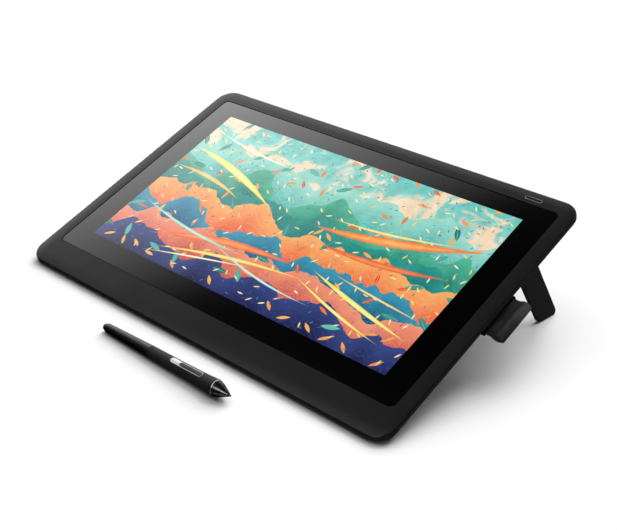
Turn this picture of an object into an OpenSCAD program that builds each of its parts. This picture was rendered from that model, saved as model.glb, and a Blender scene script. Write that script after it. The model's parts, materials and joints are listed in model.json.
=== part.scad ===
// Pen display: a drawing tablet with a screen, standing on two fold-out legs, and its pen.
// Millimetres, +Z up, X to the right, Y to the back. The origin lies on the table,
// in the middle of the space that the tablet, its loop and the pen take up.

/* [Tablet body] */
// Width of the body
body_w = 421.6; // [414:0.2:432]
// Depth of the body
body_d = 282; // [278:1:292]
// Thickness from the bezel face to the flat back
body_t = 21.5; // [21:0.5:24]
// Radius of the outline's corners
corner_r = 17; // [16.5:0.5:22]
// Height of the side wall, from the bezel face to the parting line
side_h = 4.7; // [4.5:0.1:5.6]
// Thickness of the moulded walls
wall = 2.2; // [1.8:0.1:2.6]
// Radius of the crown across the bezel's outer band
crown_r = 150; // [60:10:300]
// Radius of the bezel's outer edge
edge_r = 1.2; // [0.8:0.1:2]
// Width of the shadow groove along the parting line
groove = 0.5; // [0.3:0.1:0.8]
// Run of the rear cover's rounded sides
belly_run = 14; // [10:0.5:14]
// Flatness of the rounded sides: 1 is a quarter round, 2 a plain bevel
belly_bend = 1.6; // [1:0.1:1.8]
// Tilt of the screen with the legs open
tilt = 19; // [17:0.5:21]

/* [Screen] */
// Bezel beside the glass, left and right
bezel_side = 13.1; // [12:0.1:14]
// Bezel behind the glass
bezel_back = 15.5; // [14.5:0.5:18]
// Bezel in front of the glass
bezel_front = 28.9; // [26:0.1:31]
// Thickness of the cover glass
glass_t = 1.5; // [1.1:0.1:1.8]
// Radius of the glass corners
glass_r = 6; // [5:0.5:9]
// Depth of the glass under the bezel face
glass_sink = 0.4; // [0.1:0.05:0.5]
// Black border of the glass beside the lit picture, left and right
border_side = 24.5; // [20:0.1:28]
// Black border behind the lit picture
border_back = 19.85; // [17:0.05:24]
// Black border in front of the lit picture
border_front = 22.85; // [18:0.05:26]

/* [Legs] */
// Distance of the leg hinges from the sides of the body
hinge_in = 27.8; // [27:0.2:36]
// Depth of the leg hinges under the bezel face
hinge_depth = 17; // [16.5:0.1:17.5]
// Distance of the legs' middle from the back of the body
leg_in = 57.6; // [54:0.2:66]
// Breadth of a leg
leg_w = 23.9; // [20:0.1:26]
// Thickness of a leg
leg_t = 5; // [4.6:0.1:6]
// How much thinner a leg gets towards its foot
leg_taper = 1.5; // [0:0.1:2]
// Outward lean of an open leg
splay = 17; // [12:1:20]
// Thickness of the rubber sole
sole_t = 3; // [2:0.5:5]
// Radius of the hinge pin
pin_r = 1.3; // [1:0.1:1.5]

/* [Feet] */
// Length of a front foot
front_foot_l = 42; // [30:1:50]
// Distance of the front feet's middle from the sides of the body
front_foot_in = 61; // [50:1:80]
// Width of a foot
foot_w = 8; // [6:0.5:10]
// How far the feet stand proud
foot_t = 1.6; // [1:0.1:2.4]
// Length of a back foot
back_foot_l = 34; // [24:1:44]
// Distance of the back feet's middle from the sides of the body
back_foot_in = 60; // [50:1:80]
// Distance of the front pair of back feet from the front of the body
fore_pair_in = 58; // [56:1:71]
// Distance of the rear pair of back feet from the back of the body
rear_pair_in = 27; // [25:1:29]

/* [Power button] */
// Length of the button
button_l = 15.2; // [12:0.1:20]
// Width of the button
button_w = 2.6; // [2.2:0.1:4]
// Distance of the button's middle from the right side of the body
button_in = 42.8; // [38:0.2:60]
// Distance of the button's middle behind the glass
button_gap = 6.1; // [5.6:0.1:7]
// Travel of the button
button_travel = 0.5; // [0.3:0.1:0.6]
// Width of the light ring round the button
ring_w = 0.5; // [0.4:0.1:0.9]

/* [Cable port] */
// Width of the plug recess
recess_w = 88; // [70:1:110]
// Depth of the plug recess, front to back
recess_d = 40; // [34:1:42]
// Distance of the recess's middle from the back of the body
recess_in = 46; // [45:1:48]
// Height of the plug recess inside
recess_h = 10; // [9:0.5:10.5]
// Thickness of the cable cover
cover_t = 1.8; // [1.4:0.1:2.4]
// Width of the cable notch in the cover
notch_w = 10; // [8:0.5:14]
// Depth of the cable notch in the cover
notch_d = 9; // [7:0.5:10]
// Width of the socket's mouth
port_w = 16; // [9:0.5:20]
// Height of the socket's mouth
port_h = 3.2; // [2.6:0.1:3.8]

/* [Pen loop] */
// Length of the loop along the side
loop_l = 41.5; // [36:0.5:46]
// Reach of the loop out of its tab
loop_reach = 16.5; // [14:0.5:20]
// Thickness of the loop's tape
tape_t = 1.1; // [0.8:0.1:1.4]
// Rise of the loop's upper side
loop_rise = 3.6; // [3.2:0.1:5]
// Sag of the loop's lower side
loop_sag = 2.9; // [2.6:0.1:4]
// Droop of the loop
loop_droop = 6; // [0:1:12]
// Place of the loop behind the middle of the body
loop_y = 12; // [0:1:30]
// Depth of the loop under the bezel face
loop_depth = 11.6; // [11:0.1:12.4]

/* [Pen] */
// Length of the pen
pen_l = 152.4; // [150:0.2:158]
// Radius of the barrel at the tail
pen_tail_r = 4; // [3.9:0.1:4.2]
// Radius at the seam between barrel and grip
pen_seam_r = 5.4; // [5.2:0.1:5.5]
// Largest radius of the grip
pen_flare_r = 7.1; // [7:0.1:7.6]
// Length of the grip, from its seam to the flare
grip_l = 74.4; // [70:0.2:82]
// Distance of the flare from the tip
flare_back = 17.3; // [16.5:0.1:21]
// Length of the silver switch surround
surround_l = 36; // [34:0.5:39]
// Width of the switch surround
surround_w = 5; // [4.8:0.1:6]
// Length of the rocker switch
rocker_l = 25; // [20:0.5:27]
// Distance of the surround's tail end from the flare
surround_back = 49; // [47:0.5:53]
// Radius of the nib
nib_r = 0.8; // [0.6:0.1:1]
// Turn of the switch from straight up, towards the front
pen_roll = 12; // [0:1:30]
// Place of the pen's tail, right of the middle of the body
pen_x = -61.3; // [-100:0.1:0]
// Distance of the pen's tail in front of the middle of the body
pen_front = 164.4; // [150:0.2:190]
// Turn of the pen on the table, its tip towards the front
pen_turn = 0.8; // [0:0.1:4]

/* [Hidden] */
$fn = 64;

// Clearances
slide_gap = 0.2;
seat_gap = 0.15;
pin_gap = 0.05;
pocket_gap = 0.6;
glass_gap = 0.3;
stop_gap = 0.35;
reach_far = 400;

// Steps that draw an arc
arc_steps = 6;

// Levels under the bezel face
bond_tape_t = 0.3;
ledge_t = 1.4;
lcd_t = 1.2;
backlight_t = 2.6;
tray_t = 0.4;
digitiser_t = 0.9;
shield_t = 0.3;
chassis_t = 1.2;
glass_under = -glass_sink - glass_t;
ledge_z = glass_under - bond_tape_t;
frame_under = ledge_z - ledge_t;
backlight_z = glass_under - lcd_t;
tray_z = backlight_z - backlight_t;
digitiser_z = tray_z - tray_t;
shield_z = digitiser_z - digitiser_t;
chassis_z = shield_z - shield_t;
chassis_under = chassis_z - chassis_t;

// Front frame
shelf = 1.5;
rim_land = 0.5;
rim_w = bezel_side - rim_land;
crown_in = bezel_side - shelf;
crown_turn = asin((crown_in - edge_r) / (crown_r - edge_r));
edge_z = (crown_r - edge_r) * cos(crown_turn) - crown_r;
ledge_w = 4.5;
glass_w = body_w - 2 * bezel_side;
glass_d = body_d - bezel_back - bezel_front;
glass_y = (bezel_front - bezel_back) / 2;
picture_w = glass_w - 2 * border_side;
picture_d = glass_d - border_back - border_front;
picture_y = glass_y + (border_front - border_back) / 2;
window_w = glass_w - 2 * ledge_w;
window_d = glass_d - 2 * ledge_w;
post_r = 3;
post_bore_r = 1.1;
post_x = (window_w / 2 + body_w / 2 - wall) / 2;
post_back_y = glass_y + glass_d / 2 + 2;
post_front_y = glass_y - glass_d / 2 - 2;
post_mid_x = 100;
post_in = 30;
frame_posts = concat(
    [for (sx = [-1, 1], y = [post_front_y + post_in, 0, post_back_y - post_in]) [sx * post_x, y]],
    [for (sx = [-1, 1], y = [post_front_y, post_back_y]) [sx * post_mid_x, y]]);

// Panel stack
panel_margin = 5.5;
panel_w = picture_w + 2 * panel_margin;
panel_d = picture_d + 2 * panel_margin;
panel_r = 2;
chassis_w = 2 * (post_x + post_r);
chassis_back = post_back_y + post_r;
chassis_front = post_front_y - post_r;

// Rear cover
lip_h = 0.5;
land = 1;
band = groove + belly_run + land;
belly_z = -side_h - lip_h;
tongue_t = 1.2;
tongue_h = side_h + frame_under - 2 * seat_gap;
tongue_root = 2;
block_wall = 1.6;
slope_y = -body_d / 2 + groove;
table_z = foot_t - slope_y * sin(tilt) - belly_z * cos(tilt);

// Leg pockets
hinge_x = body_w / 2 - hinge_in;
leg_y = body_d / 2 - leg_in;
hinge_z = -hinge_depth;
knuckle_r = leg_t / 2;
pocket_top = hinge_z + knuckle_r + pocket_gap;
pocket_out = hinge_x + knuckle_r / cos(splay) + (body_t + hinge_z) * tan(splay) + stop_gap;
function leg_reach(y) =
    (table_z + y * sin(tilt) + hinge_z * cos(tilt)) / (cos(splay) * cos(tilt));
function table_line(y) = -(table_z + y * sin(tilt)) / cos(tilt);
leg_long = leg_reach(leg_y + leg_w / 2) + knuckle_r * tan(splay);
pocket_in = hinge_x - leg_long - pocket_gap;
pocket_w = leg_w + 2 * pocket_gap;
hinge_wall = 7;
sole_r = 4;
scoop_r = 9;
scoop_h = 5;
tray_rim = 3.5;
tray_depth = 1.5;

// Cable port
recess_y = body_d / 2 - recess_in;
recess_top = -body_t + recess_h;
rebate = 3;
snap_w = 2;
snap_h = 4;
finger_l = 18;
finger_w = 5;
finger_in = 6;
cover_w = recess_w + 2 * rebate;
cover_d = recess_d + 2 * rebate;
cover_r = 5;
recess_front = recess_y - recess_d / 2;
port_wall = 1.2;
port_l = 12;
board_t = 1.6;
board_w = 120;
board_d = 66;
standoff_h = 3.05;
board_z = chassis_under - standoff_h;
board_back = recess_front - block_wall - 1;
board_front = board_back - board_d;
standoff_r = 2.5;
board_inset = 4;
board_holes = [for (sx = [-1, 1], y = [board_front + board_inset, board_back - board_inset])
    [sx * (board_w / 2 - board_inset), y]];
port_z = board_z - board_t - port_h - 2 * port_wall;

// Flat cables
ribbon_t = 0.3;
ribbon_w = 30;
ribbon_z = chassis_under - 0.3;
ribbon_x = board_w / 4;
plug_h = 1.2;
ribbon_slot = 4;
panel_front = picture_y - panel_d / 2;
panel_back = picture_y + panel_d / 2;

// Feet and screws
front_foot_x = body_w / 2 - front_foot_in;
back_foot_x = body_w / 2 - back_foot_in;
back_foot_rows = [fore_pair_in - body_d / 2, body_d / 2 - rear_pair_in];
case_screws_at = [for (sx = [-1, 1], y = back_foot_rows) [sx * back_foot_x, y]];
screw_r = 1.4;
screw_head_r = 2.6;
screw_head_h = 1.8;
screw_seat = 4;
screw_post_r = 4.2;
foot_recess = 0.8;
front_foot_y = foot_w / 2 + 2;
small_screw_r = 1;
small_head_r = 1.9;
small_head_h = 1;

// Power button
button_x = body_w / 2 - button_in;
button_y = glass_y + glass_d / 2 + button_gap;
button_sink = 0.3;
flange_w = 1.2;
flange_t = 1;
stem_r = 1.5;
stem_h = 0.6;
switch_h = 1.6;
switch_size = [6, 4];
press_gap = 0.1;
button_board_t = 1;
button_board_w = 7;
button_flange_z = frame_under - seat_gap;
button_stem_z = button_flange_z - flange_t - stem_h;
button_switch_z = button_stem_z - button_travel - press_gap;
button_board_z = button_switch_z - switch_h;
button_post_r = 1.8;
button_post_x = button_l / 2 + flange_w + button_post_r + pocket_gap;
button_board_l = 2 * (button_post_x + button_post_r) + 1;
notch_gap = 3;

// Pen loop
tab_over = 1.8;
tab_l = loop_l + 2 * tab_over;
tab_h = 3.2;
tab_proud = 3.3;
flange_reach = 1.5;
loop_neck = 4.5;
neck_in = 3;
loop_z = -loop_depth;
loop_root = body_w / 2 - belly_inset(loop_z, 0) + tab_proud;
tab_in = body_w / 2 - belly_inset(loop_z - tab_h / 2, wall) - 2 * seat_gap;
tab_reach = loop_root - tab_in;
loop_chord = loop_reach - loop_neck;
loop_top_r = (loop_chord * loop_chord / 4 + loop_rise * loop_rise) / (2 * loop_rise);
loop_low_r = (loop_chord * loop_chord / 4 + loop_sag * loop_sag) / (2 * loop_sag);

// Pen
pen_flare_x = pen_l - flare_back;
pen_seam_x = pen_flare_x - grip_l;
surround_x = pen_flare_x - surround_back;
pen_tail_x = 5;
pen_lie = atan(min((pen_flare_r - pen_tail_r) / (pen_flare_x - pen_tail_x),
    (pen_flare_r - pen_seam_r) / grip_l));
pen_lift = pen_flare_r * cos(pen_lie) - pen_flare_x * sin(pen_lie);
pen_bore_r = 3;
grip_bore_r = 4.2;
core_r = grip_bore_r - 0.1;
eraser_r = pen_bore_r - 0.1;
eraser_stop = 9;
spine_w = 3.6;
spine_h = 0.35;
ring_l = 0.8;
nose_x = pen_flare_x + 1 + ring_l;
nose_r = pen_flare_r - 0.35;
nib_out = 2.6;
nose_l = pen_l - nose_x - nib_out;
nose_wall = 0.7;
nose_tip_r = nib_r + nose_wall;
nose_step = 6.7;
nose_groove_x = nose_x + nose_step;
nose_bulge = 0.45;
spigot_r = 3;
spigot_l = 4;
nib_gap = 0.12;
nib_travel = 0.4;
nib_back = 14;
rocker_gap = 0.25;
outline_w = 0.45;
rocker_w = surround_w - 2 * outline_w;
rocker_end = surround_x + surround_l - outline_w;
rocker_x = rocker_end - rocker_l / 2;
rocker_proud = 0.45;
rocker_under = core_r + 0.8;
rocker_rib_r = 0.75;
saddle_gap = 0.05;
surround_proud = 0.12;
surround_seat = core_r + 0.1;
grip_steps = 12;

// Outermost places, whose middle is the origin
loop_end_x = loop_root + loop_reach * cos(loop_droop);
back_reach = max([for (p = concat([[0, -side_h]], belly_points(0)))
    (body_d / 2 - p[0]) * cos(tilt) - p[1] * sin(tilt)]);
pen_reach = pen_front + pen_flare_x * cos(pen_lie) * sin(pen_turn) + pen_flare_r * cos(pen_turn);
middle_x = (loop_end_x - body_w / 2) / 2;
middle_y = (back_reach - pen_reach) / 2;

// Outline of a plate with round corners
module rounded(w, d, r) {
    square([w - 2 * r, d], center = true);
    square([w, d - 2 * r], center = true);
    for (sx = [-1, 1], sy = [-1, 1])
        translate([sx * (w / 2 - r), sy * (d / 2 - r)]) circle(r);
}

// Outline of a bar with round ends, along X
module pill(l, w) {
    square([l - w, w], center = true);
    for (sx = [-1, 1]) translate([sx * (l - w) / 2, 0]) circle(w / 2);
}

// A flat outline made solid between two levels
module between(low, high) {
    translate([0, 0, low]) linear_extrude(high - low) children();
}

// A profile swept round a plate with round corners; its X is the distance from the corner's centre
module around(w, d, r) {
    for (quarter = [0:3]) {
        long = quarter % 2 == 0 ? d : w;
        wide = quarter % 2 == 0 ? w : d;
        rotate(90 * quarter) translate([wide / 2 - r, long / 2 - r, 0]) {
            rotate([90, 0, 0]) linear_extrude(long - 2 * r) children();
            rotate_extrude(angle = 90) children();
        }
    }
}

// Swept outline given by its insets from the body's edge
module body_rim(points) {
    around(body_w, body_d, corner_r) polygon([for (p = points) [corner_r - p[0], p[1]]]);
}

// Tablet frame, with its face at Z = 0, tilted on the table
module on_table() {
    translate([-middle_x, -middle_y, table_z]) rotate([tilt, 0, 0]) children();
}

// Frame of the sloped underside at the front, parallel to the table
module on_slope() {
    translate([0, slope_y, belly_z]) rotate([-tilt, 0, 0]) children();
}

// All that lies under the sloped underside
module under_slope(raise) {
    on_slope() translate([-reach_far, -reach_far, raise - reach_far])
        cube([2 * reach_far, 2 * reach_far, reach_far]);
}

// All that lies under a level above the table
module under_table(level) {
    translate([-reach_far, -reach_far, level - reach_far])
        cube([2 * reach_far, 2 * reach_far, reach_far]);
}

// A mirrored copy for the left side
module on_side(side) {
    if (side < 0) mirror([1, 0, 0]) children();
    else children();
}

function crown_points() = [for (i = [0:arc_steps])
    let (a = crown_turn * i / arc_steps)
    [crown_in - crown_r * sin(a), crown_r * (cos(a) - 1)]];

function edge_points() = [for (i = [1:arc_steps])
    let (a = crown_turn + (90 - crown_turn) * i / arc_steps)
    [edge_r * (1 - sin(a)), edge_z + edge_r * cos(a)]];

// Crowned bezel plate with its side wall, before its openings are cut
module frame_blank() {
    body_rim(concat([[rim_w, 0]], crown_points(), edge_points(),
        [[0, -side_h], [wall, -side_h], [wall, frame_under], [rim_w, frame_under]]));
    core = rim_w - rim_land;
    between(frame_under, 0) rounded(body_w - 2 * core, body_d - 2 * core, corner_r - core);
}

module front_frame() {
    color("#2c2c2d") on_table() difference() {
        union() {
            frame_blank();
            for (p = frame_posts) translate(p) between(chassis_z, frame_under) circle(post_r);
            for (sx = [-1, 1]) translate([button_x + sx * button_post_x, button_y])
                between(button_board_z, frame_under) circle(button_post_r);
        }
        translate([0, glass_y]) {
            between(ledge_z, reach_far) rounded(glass_w, glass_d, glass_r);
            between(-reach_far, 0) rounded(window_w, window_d, glass_r - ledge_w / 2);
        }
        for (p = frame_posts) translate(p) between(chassis_z - 1, frame_under) circle(post_bore_r);
        translate([button_x, button_y]) between(-reach_far, reach_far)
            pill(button_l + 2 * (slide_gap + ring_w), button_w + 2 * (slide_gap + ring_w));
    }
}

module cover_glass() {
    color("#0a0a0c") on_table() translate([0, glass_y])
        between(glass_under, -glass_sink)
            rounded(glass_w - 2 * glass_gap, glass_d - 2 * glass_gap, glass_r - glass_gap);
}

module glass_tape() {
    color("#151515") on_table() translate([0, glass_y]) between(ledge_z, glass_under)
        difference() {
            rounded(glass_w - 2 * glass_gap, glass_d - 2 * glass_gap, glass_r - glass_gap);
            rounded(window_w, window_d, glass_r - ledge_w / 2);
        }
}

module panel_plate(low, high, margin) {
    translate([0, picture_y]) between(low, high)
        rounded(panel_w - 2 * margin, panel_d - 2 * margin, panel_r);
}

module lcd_cell() {
    color("#20242a") on_table() panel_plate(backlight_z, glass_under, 0);
}

module backlight() {
    color("#e8e6de") on_table() panel_plate(tray_z, backlight_z, tray_t);
}

module panel_tray() {
    color("#b9bcc0") on_table() difference() {
        panel_plate(digitiser_z, backlight_z, 0);
        panel_plate(tray_z, reach_far, tray_t);
    }
}

module digitiser_board() {
    color("#2f5d3a") on_table() panel_plate(shield_z, digitiser_z, 1);
}

module shield_plate() {
    color("#c9ccd0") on_table() panel_plate(chassis_z, shield_z, 1);
}

// Slots in the chassis for the flat cables, in front of and behind the panel
module ribbon_slots() {
    for (p = [[-ribbon_x, panel_front - ribbon_slot / 2], [ribbon_x, panel_back + ribbon_slot / 2]])
        translate(p) square([ribbon_w + 4, ribbon_slot], center = true);
}

module chassis_plate() {
    color("#9da1a5") on_table() {
        between(chassis_under, chassis_z) difference() {
            translate([0, (chassis_back + chassis_front) / 2])
                rounded(chassis_w, chassis_back - chassis_front, panel_r);
            for (p = frame_posts) translate(p) circle(small_screw_r);
            for (p = case_screws_at) translate(p) circle(screw_r);
            ribbon_slots();
            translate([button_x, button_y])
                square([button_board_l + 2 * notch_gap, button_board_w + 2 * notch_gap], center = true);
        }
        for (p = board_holes) translate(p) between(board_z, chassis_under) difference() {
            circle(standoff_r);
            circle(small_screw_r);
        }
    }
}

// One screw under a level, with its shank going up
module screw(head_r, head_h, shank_r, shank_l) {
    between(-head_h, 0) circle(head_r);
    between(-head_h / 2, shank_l) circle(shank_r);
}

module chassis_screws() {
    color("#8d9094") on_table() for (p = frame_posts) translate([p[0], p[1], chassis_under])
        screw(small_head_r, small_head_h, small_screw_r, chassis_t + 2.6);
}

module main_board() {
    color("#245236") on_table() between(board_z - board_t, board_z) difference() {
        translate([-board_w / 2, board_front]) square([board_w, board_d]);
        for (p = board_holes) translate(p) circle(small_screw_r + slide_gap);
    }
}

// Chips under the main board, each given by its place and size, and the plugs on top of it
module board_chips() {
    chips = [[-30, 20, 16, 16], [14, 24, 12, 12], [34, 44, 9, 7], [-10, 46, 8, 8], [40, 16, 6, 10]];
    color("#26272a") on_table() {
        for (c = chips) translate([c[0], board_front + c[1], 0])
            between(board_z - board_t - plug_h, board_z - board_t) square([c[2], c[3]], center = true);
        for (p = [[-ribbon_x, board_front + 3], [ribbon_x, board_back - 3]]) translate(p)
            between(board_z, board_z + plug_h) square([ribbon_w + 2, 4], center = true);
    }
}

module board_screws() {
    color("#8d9094") on_table() for (p = board_holes) translate([p[0], p[1], board_z - board_t])
        screw(small_head_r, small_head_h, small_screw_r, board_t + 2);
}

// Flat cable drawn in the YZ plane: up from its plug, along under the chassis, and up to the panel
module ribbon(x, plug_y, rise_y, top, end_y) {
    low = ribbon_z - ribbon_t;
    plug_z = board_z + plug_h;
    half = ribbon_t / 2;
    near = min(rise_y - half, end_y);
    far = max(rise_y + half, end_y);
    translate([x + ribbon_w / 2, 0, 0]) rotate([90, 0, -90]) linear_extrude(ribbon_w) mirror([1, 0]) {
        translate([plug_y - half, plug_z]) square([ribbon_t, ribbon_z - plug_z]);
        translate([min(plug_y, rise_y) - half, low]) square([abs(rise_y - plug_y) + ribbon_t, ribbon_t]);
        translate([rise_y - half, low]) square([ribbon_t, top - low]);
        translate([near, top - ribbon_t]) square([far - near, ribbon_t]);
    }
}

module panel_ribbon() {
    color("#c8a24a") on_table()
        ribbon(-ribbon_x, board_front + 3, panel_front - 2, glass_under - lcd_t / 2, panel_front);
}

module digitiser_ribbon() {
    color("#c8a24a") on_table()
        ribbon(ribbon_x, board_back - 3, panel_back + 2, digitiser_z - digitiser_t / 2, panel_back - 1);
}

module port_socket() {
    color("#3a3b3d") on_table() translate([0, recess_front - port_l, port_z]) difference() {
        translate([-port_w / 2 - port_wall, 0, 0])
            cube([port_w + 2 * port_wall, port_l, port_h + 2 * port_wall]);
        translate([-port_w / 2, port_wall, port_wall]) cube([port_w, port_l, port_h]);
    }
}

module power_button() {
    color("#232324") on_table() translate([button_x, button_y]) {
        between(button_flange_z - flange_t, -button_sink) pill(button_l, button_w);
        between(button_flange_z - flange_t, button_flange_z)
            pill(button_l + 2 * flange_w, button_w + 2 * flange_w);
        between(button_stem_z, button_flange_z - flange_t) circle(stem_r);
    }
}

module button_ring() {
    color("#a9aaab") on_table() intersection() {
        frame_blank();
        translate([button_x, button_y]) between(frame_under, 1) difference() {
            pill(button_l + 2 * (slide_gap + ring_w), button_w + 2 * (slide_gap + ring_w));
            pill(button_l + 2 * slide_gap, button_w + 2 * slide_gap);
        }
    }
}

module button_board() {
    color("#245236") on_table() translate([button_x, button_y])
        between(button_board_z - button_board_t, button_board_z)
            square([button_board_l, button_board_w], center = true);
}

module button_switch() {
    color("#5a5b5d") on_table() translate([button_x, button_y]) {
        between(button_board_z, button_board_z + switch_h / 2) square(switch_size, center = true);
        between(button_board_z + switch_h / 2, button_switch_z) circle(stem_r);
    }
}

// Line of the rear cover's rounded side, as insets and levels, with the wall moved in
function belly_points(inward) =
    let (floor_z = -body_t + inward, run = belly_run - inward)
    [for (a = [0:90 / (2 * arc_steps):90])
        [groove + inward + run * (1 - pow(cos(a), belly_bend)),
            belly_z + (floor_z - belly_z) * pow(sin(a), belly_bend)]];

// Inset of that line at a level
function belly_inset(z, inward) =
    let (share = (z - belly_z) / (-body_t + inward - belly_z), a = asin(pow(share, 1 / belly_bend)))
    groove + inward + (belly_run - inward) * (1 - pow(cos(a), belly_bend));

// Rear cover's outer form, or its cavity when the walls are moved in
module pan(inward, top) {
    floor_z = -body_t + inward;
    body_rim(concat([[groove + inward, top]], belly_points(inward), [[band, floor_z], [band, top]]));
    core = band - land / 2;
    between(floor_z, top) rounded(body_w - 2 * core, body_d - 2 * core, corner_r - core);
}

// Solid that the leg pocket is cut from
module pocket_block() {
    translate([pocket_in - block_wall, leg_y - pocket_w / 2 - block_wall, -body_t])
        cube([pocket_out - pocket_in + 2 * block_wall, pocket_w + 2 * block_wall,
            body_t + pocket_top + block_wall]);
    translate([hinge_x - 2 * knuckle_r, leg_y - pocket_w / 2 - hinge_wall, -body_t])
        cube([pocket_out - hinge_x + 2 * knuckle_r + block_wall, pocket_w + 2 * hinge_wall,
            body_t + pocket_top + block_wall]);
    translate([pocket_in, leg_y]) between(-body_t, -body_t + scoop_h + block_wall)
        circle(scoop_r + block_wall);
}

module pocket_cut() {
    translate([pocket_in, leg_y - pocket_w / 2, -body_t - 1])
        cube([pocket_out - pocket_in, pocket_w, body_t + 1 + pocket_top]);
    translate([pocket_in, leg_y]) between(-body_t - 1, -body_t + scoop_h) circle(scoop_r);
    translate([hinge_x, leg_y + pocket_w / 2 + hinge_wall + 1, hinge_z]) rotate([90, 0, 0])
        cylinder(h = pocket_w + 2 * hinge_wall + 2, r = pin_r);
}

module recess_block() {
    translate([0, recess_y]) between(-body_t, recess_top + block_wall)
        rounded(recess_w + 2 * block_wall, recess_d + 2 * block_wall, cover_r);
    translate([0, recess_y]) between(-body_t, -body_t + cover_t + block_wall)
        rounded(cover_w + 2 * block_wall, cover_d + 2 * block_wall, cover_r);
}

module recess_cut() {
    translate([0, recess_y]) {
        between(-body_t - 1, recess_top) rounded(recess_w, recess_d, cover_r - rebate / 2);
        between(-body_t - 1, -body_t + cover_t) rounded(cover_w, cover_d, cover_r);
    }
    hole_w = port_w + 2 * (port_wall + seat_gap);
    translate([-hole_w / 2, recess_front - rebate - 2 * block_wall, port_z - seat_gap])
        cube([hole_w, rebate + 3 * block_wall, port_h + 2 * (port_wall + seat_gap)]);
}

// Recess that a foot is glued into
module foot_seat(l) {
    between(-1, foot_recess) pill(l + 2 * seat_gap, foot_w + 2 * seat_gap);
}

module rear_cover() {
    color("#222223") on_table() difference() {
        union() {
            difference() {
                pan(0, -side_h);
                difference() {
                    pan(wall, 1);
                    under_slope(wall);
                }
            }
            body_rim([[wall + seat_gap, tongue_h - side_h], [wall + seat_gap, -side_h - tongue_root],
                [wall + tongue_t, -side_h - tongue_root], [wall + tongue_t, tongue_h - side_h]]);
            for (side = [-1, 1]) on_side(side) pocket_block();
            recess_block();
            for (p = case_screws_at) translate(p) between(-body_t, chassis_under) circle(screw_post_r);
        }
        under_slope(0);
        for (side = [-1, 1]) {
            on_side(side) pocket_cut();
            on_slope() translate([side * front_foot_x, front_foot_y]) foot_seat(front_foot_l);
        }
        recess_cut();
        for (p = case_screws_at) translate([p[0], p[1], -body_t]) {
            foot_seat(back_foot_l);
            between(0, screw_seat) circle(screw_head_r + slide_gap);
            between(0, body_t) circle(screw_r + slide_gap);
        }
        translate([tab_in - wall, loop_y - tab_l / 2 - seat_gap, loop_z - tab_h / 2 - seat_gap])
            cube([tab_reach + 2 * wall, tab_l + 2 * seat_gap, tab_h + 2 * seat_gap]);
    }
}

module cable_cover() {
    color("#222223") on_table() translate([0, recess_y]) difference() {
        union() {
            between(-body_t, -body_t + cover_t - seat_gap)
                rounded(cover_w - 2 * slide_gap, cover_d - 2 * slide_gap, cover_r - slide_gap);
            for (sx = [-1, 1]) translate([sx * (recess_w / 2 - slide_gap - snap_w / 2), 0])
                between(-body_t, -body_t + cover_t + snap_h)
                    square([snap_w, recess_d / 2], center = true);
        }
        translate([0, cover_d / 2 - notch_d / 2]) between(-body_t - 1, 0)
            square([notch_w, notch_d], center = true);
        translate([0, -cover_d / 2 + finger_in]) between(-body_t - 1, -body_t + cover_t / 2)
            pill(finger_l, finger_w);
    }
}

module case_screws() {
    color("#8d9094") on_table() for (p = case_screws_at) translate([p[0], p[1], -body_t + screw_seat])
        screw(screw_head_r, screw_head_h, screw_r, body_t - screw_seat + chassis_z);
}

module front_feet() {
    color("#1a1a1a") on_table() for (side = [-1, 1]) on_slope()
        translate([side * front_foot_x, front_foot_y]) between(-foot_t, foot_recess)
            pill(front_foot_l, foot_w);
}

module back_feet() {
    color("#1a1a1a") on_table() for (p = case_screws_at) translate([p[0], p[1], -body_t])
        between(-foot_t, foot_recess) pill(back_foot_l, foot_w);
}

// Hinge frame of a leg: Z up along the leg, X through its thickness
module on_leg(side) {
    on_table() on_side(side) translate([hinge_x, 0, hinge_z]) rotate([0, -splay, 0]) children();
}

// Side view of a leg in the tablet frame: straight edges, and a foot with round corners on the table
module leg_outline() {
    low = leg_y - leg_w / 2;
    high = leg_y + leg_w / 2;
    head = hinge_z + 2 * knuckle_r;
    heel = sole_r * [-sin(tilt), -cos(tilt)];
    corners = [for (y = [low + sole_r, high - sole_r]) [y, table_line(y) + sole_r / cos(tilt)]];
    polygon([[low, head], [low, corners[0][1]], corners[0] + heel,
        corners[1] + heel, [high, corners[1][1]], [high, head]]);
    for (c = corners) translate(c) circle(sole_r);
}

// Leg with its sole: an eye round the pin and a splayed plate down to the table
module leg_blank(side) {
    intersection() {
        on_leg(side) {
            translate([0, leg_y + leg_w / 2, 0]) rotate([90, 0, 0]) cylinder(h = leg_w, r = knuckle_r);
            translate([0, leg_y + leg_w / 2, 0]) rotate([90, 0, 0]) linear_extrude(leg_w)
                polygon([[-knuckle_r, 0], [knuckle_r, 0], [knuckle_r, -leg_long - sole_r],
                    [leg_taper - knuckle_r, -leg_long - sole_r]]);
        }
        on_table() on_side(side) rotate([90, 0, 90]) linear_extrude(body_w) leg_outline();
    }
}

module leg(side) {
    color("#262627") difference() {
        leg_blank(side);
        under_table(sole_t);
        on_leg(side) {
            translate([0, leg_y + leg_w, 0]) rotate([90, 0, 0])
                cylinder(h = 2 * leg_w, r = pin_r + pin_gap);
            translate([-knuckle_r - 1, leg_y - leg_w / 2 + tray_rim, -leg_reach(leg_y) + 3 * sole_r])
                cube([1 + tray_depth, leg_w - 2 * tray_rim, leg_reach(leg_y) - 5 * sole_r]);
        }
    }
}

module leg_sole(side) {
    color("#141414") difference() {
        leg_blank(side);
        under_table(0);
        translate([-reach_far, -reach_far, sole_t]) cube(2 * reach_far);
    }
}

module leg_pin(side) {
    color("#b5b8bb") on_leg(side) translate([0, leg_y + pocket_w / 2 + hinge_wall, 0])
        rotate([90, 0, 0]) cylinder(h = pocket_w + 2 * hinge_wall, r = pin_r);
}

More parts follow.
